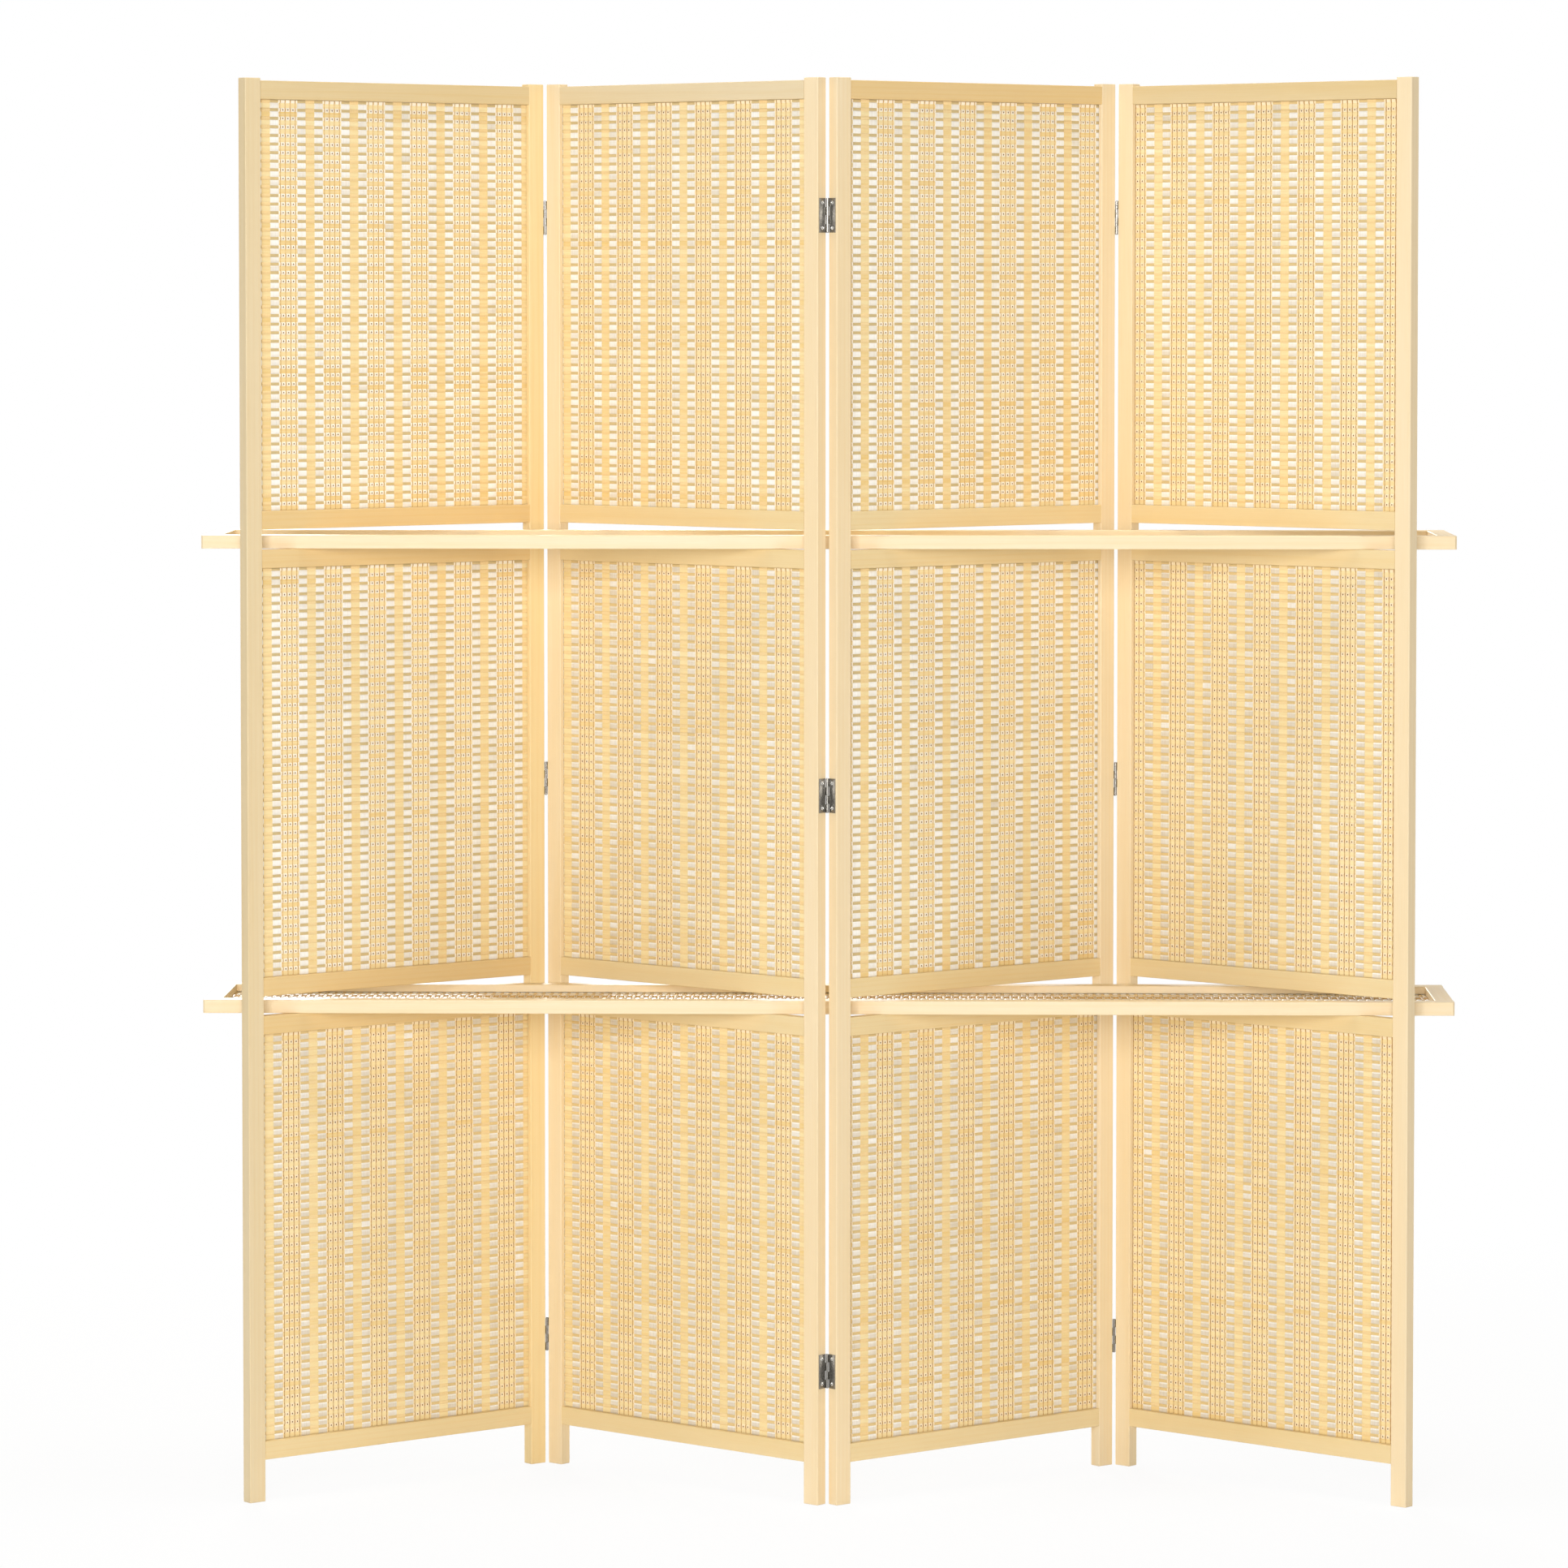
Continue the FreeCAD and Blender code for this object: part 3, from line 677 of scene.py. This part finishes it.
def pin(form, level):
    """Adds a hinge pin with rounded ends."""
    half = HINGE_HEIGHT / 2 + PIN_OVERHANG
    low, high = level - half, level + half
    end_radius = PIN_RADIUS * PIN_END
    outline = [(0, low), (end_radius, low), (PIN_RADIUS, low + PIN_OVERHANG),
               (PIN_RADIUS, high - PIN_OVERHANG), (end_radius, high), (0, high)]
    lathe(form, outline, (PIN_REACH, -PIN_SIDE, 0))


def screw(form, level):
    """Adds a domed wood screw with a cross recess."""
    face = HALF_WIDTH + LEAF_THICKNESS
    line = (LEAF_EDGE - PIN_SIDE + NOTCH_REACH) / 2
    neck = SCREW_HEAD_RADIUS - SCREW_CORE_RADIUS
    outline = [(0, -SCREW_LENGTH), (SCREW_CORE_RADIUS, SCREW_POINT - SCREW_LENGTH),
               (SCREW_CORE_RADIUS, -neck), (SCREW_HEAD_RADIUS, 0)]
    for step in range(SCREW_HEAD_STEPS + 1):
        share = 1 - step / SCREW_HEAD_STEPS
        outline.append((SCREW_HEAD_RADIUS * share, SCREW_HEAD_EDGE + SCREW_HEAD_RISE * (1 - share ** 2)))
    first = len(form.verts)
    lathe(form, outline, (face, line, level), "X")
    form.verts.ensure_lookup_table()
    for vertex in form.verts[first:]:
        if vertex.co.x > face + SCREW_HEAD_EDGE / 2:
            across, up = abs(vertex.co.y - line), abs(vertex.co.z - level)
            if min(across, up) < CROSS_HALF_WIDTH and max(across, up) < CROSS_REACH:
                vertex.co.x -= CROSS_DEPTH * (1 - max(across, up) / (2 * CROSS_REACH))


def metal_piece(name, body, node, forms, material):
    """Piece made of hinge forms, each with the matrix that puts it in its place."""
    whole = bmesh.new()
    for form, matrix in forms:
        bmesh.ops.transform(form, matrix=matrix, verts=form.verts)
        join(whole, form)
    bmesh.ops.recalc_face_normals(whole, faces=whole.faces)
    mesh = bpy.data.meshes.new(name)
    whole.to_mesh(mesh)
    whole.free()
    mesh.polygons.foreach_set("use_smooth", np.ones(len(mesh.polygons), bool))
    mesh.set_sharp_from_angle(angle=METAL_SHARP_ANGLE)
    mesh.materials.append(material)
    piece = bpy.data.objects.new(name, mesh)
    bpy.context.scene.collection.objects.link(piece)
    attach(piece, body)
    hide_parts(node)


def hinge_matrix(index, at_left_end, at_back):
    """From the axes of a right-hand front hinge, in millimetres, to its place on a panel."""
    mirror = Matrix.Diagonal((-1 if at_left_end else 1, -1 if at_back else 1, 1, 1))
    return panel_matrix(index, 0) @ Matrix.Scale(MM, 4) @ mirror


def hinges():
    """Leaves, pins and screws of the three hinge lines."""
    bodies = frame["record"]["behaviour"]["bodies"]
    body_of = {node: body for body, nodes in bodies.items() for node in nodes}
    panel_screws = {panel: [] for panel in PANEL_NAMES}
    for index, (line, at_back) in enumerate((("left", False), ("middle", True), ("right", False))):
        for side, side_name in enumerate(("left_leaves", "right_leaves")):
            matrix = hinge_matrix(index + side, side == 1, at_back)
            leaves = bmesh.new()
            screws = bmesh.new()
            for level in HINGE_LEVELS:
                leaf(leaves, level, side)
                for offset in (-SCREW_SPACING / 2, SCREW_SPACING / 2):
                    screw(screws, level + offset)
            node = f"{line}_hinges_{side_name}"
            metal_piece(f"{node}_plates", body_of[node], node, [(leaves, matrix)], hinge_metal_painted_shade)
            panel_screws[PANEL_NAMES[index + side]].append((screws, matrix))
        pins = bmesh.new()
        for level in HINGE_LEVELS:
            pin(pins, level)
        node = f"{line}_hinges_pins"
        pins_matrix = hinge_matrix(index, False, at_back)
        metal_piece(f"{node}_rods", body_of[node], node, [(pins, pins_matrix)], hinge_metal_painted_shade)
    for panel, forms in panel_screws.items():
        node = f"{panel}_hinge_screws"
        metal_piece(f"{node}_set", panel, node, forms, screw_metal_painted_glint)


# Shades of the pine's pale wood
CREAM = srgb(241, 223, 190)
STRAW = srgb(243, 220, 171)
OAT = srgb(235, 214, 169)
ASH = srgb(228, 211, 177)
HONEY = srgb(230, 202, 150)
TAN = srgb(223, 202, 159)
# Shade of each panel's left post, right post, top rail, bottom rail and slot rails
PANEL_WOODS = (
    (ASH, STRAW, TAN, OAT, HONEY),
    (CREAM, CREAM, ASH, OAT, OAT),
    (CREAM, CREAM, HONEY, OAT, OAT),
    (CREAM, CREAM, TAN, OAT, OAT),
)


def dress_frame():
    """Pine on the posts, rails and shelves, with the grain along each member."""
    for index, panel in enumerate(PANEL_NAMES):
        along = turned((1, 0, 0), index)
        members = (
            (("left_post",), (0, 0, 1)),
            (("right_post",), (0, 0, 1)),
            (("top_rail",), along),
            (("bottom_rail",), along),
            (("lower_slot_rails", "upper_slot_rails"), along),
        )
        for number, ((nodes, direction), wood) in enumerate(zip(members, PANEL_WOODS[index])):
            place = len(members) * index + number
            material = pine(f"pine_{panel}_{nodes[0]}", direction, wood, place)
            for node in nodes:
                wear(f"{panel}_{node}", material)
    for index, shelf in enumerate(SHELF_NAMES):
        place = len(PANEL_NAMES) * len(PANEL_WOODS[0]) + index
        long_rails = pine(f"pine_{shelf}_rails", (1, 0, 0), CREAM, place)
        ends = pine(f"pine_{shelf}_ends", (0, 1, 0), CREAM, place + len(SHELF_NAMES))
        for member, material in (("front_rail", long_rails), ("back_rail", long_rails),
                                 ("left_end", ends), ("right_end", ends)):
            wear(f"{shelf}_{member}", material)


def wear(node, material):
    """Puts a material on every slot of a CAD node."""
    piece = frame["nodes"][node]
    for slot in piece.material_slots:
        slot.material = material


def straight_view(shader_tree):
    """1 for rays from the camera, a mirror or glass, and 0 for the others."""
    path = shader_tree.nodes.new("ShaderNodeLightPath")
    total = path.outputs["Is Camera Ray"]
    for ray in ("Is Glossy Ray", "Is Transmission Ray"):
        more = shader_tree.nodes.new("ShaderNodeMath")
        more.operation = "MAXIMUM"
        shader_tree.links.new(total, more.inputs[0])
        shader_tree.links.new(path.outputs[ray], more.inputs[1])
        total = more.outputs[0]
    return total


def floor():
    """White floor that keeps a soft shadow near the screen and fades into the background."""
    mesh = bpy.data.meshes.new("floor")
    near, far = -FLOOR_REACH, FLOOR_REACH
    mesh.from_pydata([(near, near, 0), (far, near, 0), (far, far, 0), (near, far, 0)], [], [(0, 1, 2, 3)])
    plane = bpy.data.objects.new("floor", mesh)
    bpy.context.scene.collection.objects.link(plane)
    shader = Shader("white_floor", Base_Color=FLOOR_COLOUR, Roughness=0.9, Specular_IOR_Level=0.0)
    place = shader.node("NewGeometry", {})["Position"]
    distance = shader.node("VectorMath", {0: place}, operation="LENGTH")["Value"]
    glow_share = shader.ranged(distance, (SHADOW_NEAR, SHADOW_FAR), FLOOR_GLOW, 1.0)
    factor = shader.math("MULTIPLY", glow_share, straight_view(shader.tree))
    glow = shader.node("Emission", {"Color": WHITE, "Strength": 1.0})[0]
    mix = shader.node("MixShader", {0: factor, 1: shader.surface.outputs[0], 2: glow})[0]
    shader.tree.links.new(mix, shader.tree.nodes["Material Output"].inputs["Surface"])
    mesh.materials.append(shader.material)


def world():
    """White background, and an even light that is weaker than it."""
    sky = bpy.data.worlds.new("studio")
    sky.use_nodes = True
    tree = sky.node_tree
    light = tree.nodes["Background"]
    seen = straight_view(tree)
    shade = tree.nodes.new("ShaderNodeMix")
    shade.data_type = "RGBA"
    tree.links.new(seen, shade.inputs[0])
    shade.inputs[6].default_value = WORLD_COLOUR
    shade.inputs[7].default_value = WHITE
    tree.links.new(shade.outputs[2], light.inputs["Color"])
    strength = tree.nodes.new("ShaderNodeMapRange")
    tree.links.new(seen, strength.inputs["Value"])
    strength.inputs["To Min"].default_value = WORLD_LIGHT
    strength.inputs["To Max"].default_value = 1.0
    tree.links.new(strength.outputs[0], light.inputs["Strength"])
    bpy.context.scene.world = sky


def softbox(name, place, target, width, height, power):
    """Area light at a place, facing a target."""
    light = bpy.data.lights.new(name, "AREA")
    light.shape = "RECTANGLE"
    light.size = width
    light.size_y = height
    light.energy = power
    lamp = bpy.data.objects.new(name, light)
    lamp.location = place
    lamp.rotation_euler = (Vector(target) - Vector(place)).to_track_quat("-Z", "Y").to_euler()
    bpy.context.scene.collection.objects.link(lamp)


def lights():
    """Soft studio light from the front and from above, weak at the sides, and a light behind."""
    for name, settings in LAMPS.items():
        softbox(name, *settings)


def camera():
    """Camera in front of the screen, level with its upper mats."""
    view = bpy.data.cameras.new("camera")
    view.lens = CAMERA_LENS
    view.sensor_width = CAMERA_SENSOR
    view.shift_y = CAMERA_SHIFT
    eye = bpy.data.objects.new("camera", view)
    eye.location = CAMERA_PLACE
    eye.rotation_euler = (math.pi / 2 - CAMERA_DIP, 0, CAMERA_TURN)
    bpy.context.scene.collection.objects.link(eye)
    bpy.context.scene.camera = eye


dress_frame()
panel_mats()
shelf_mats()
hinges()
floor()
world()
lights()
camera()
bpy.context.scene.view_settings.view_transform = "Standard"
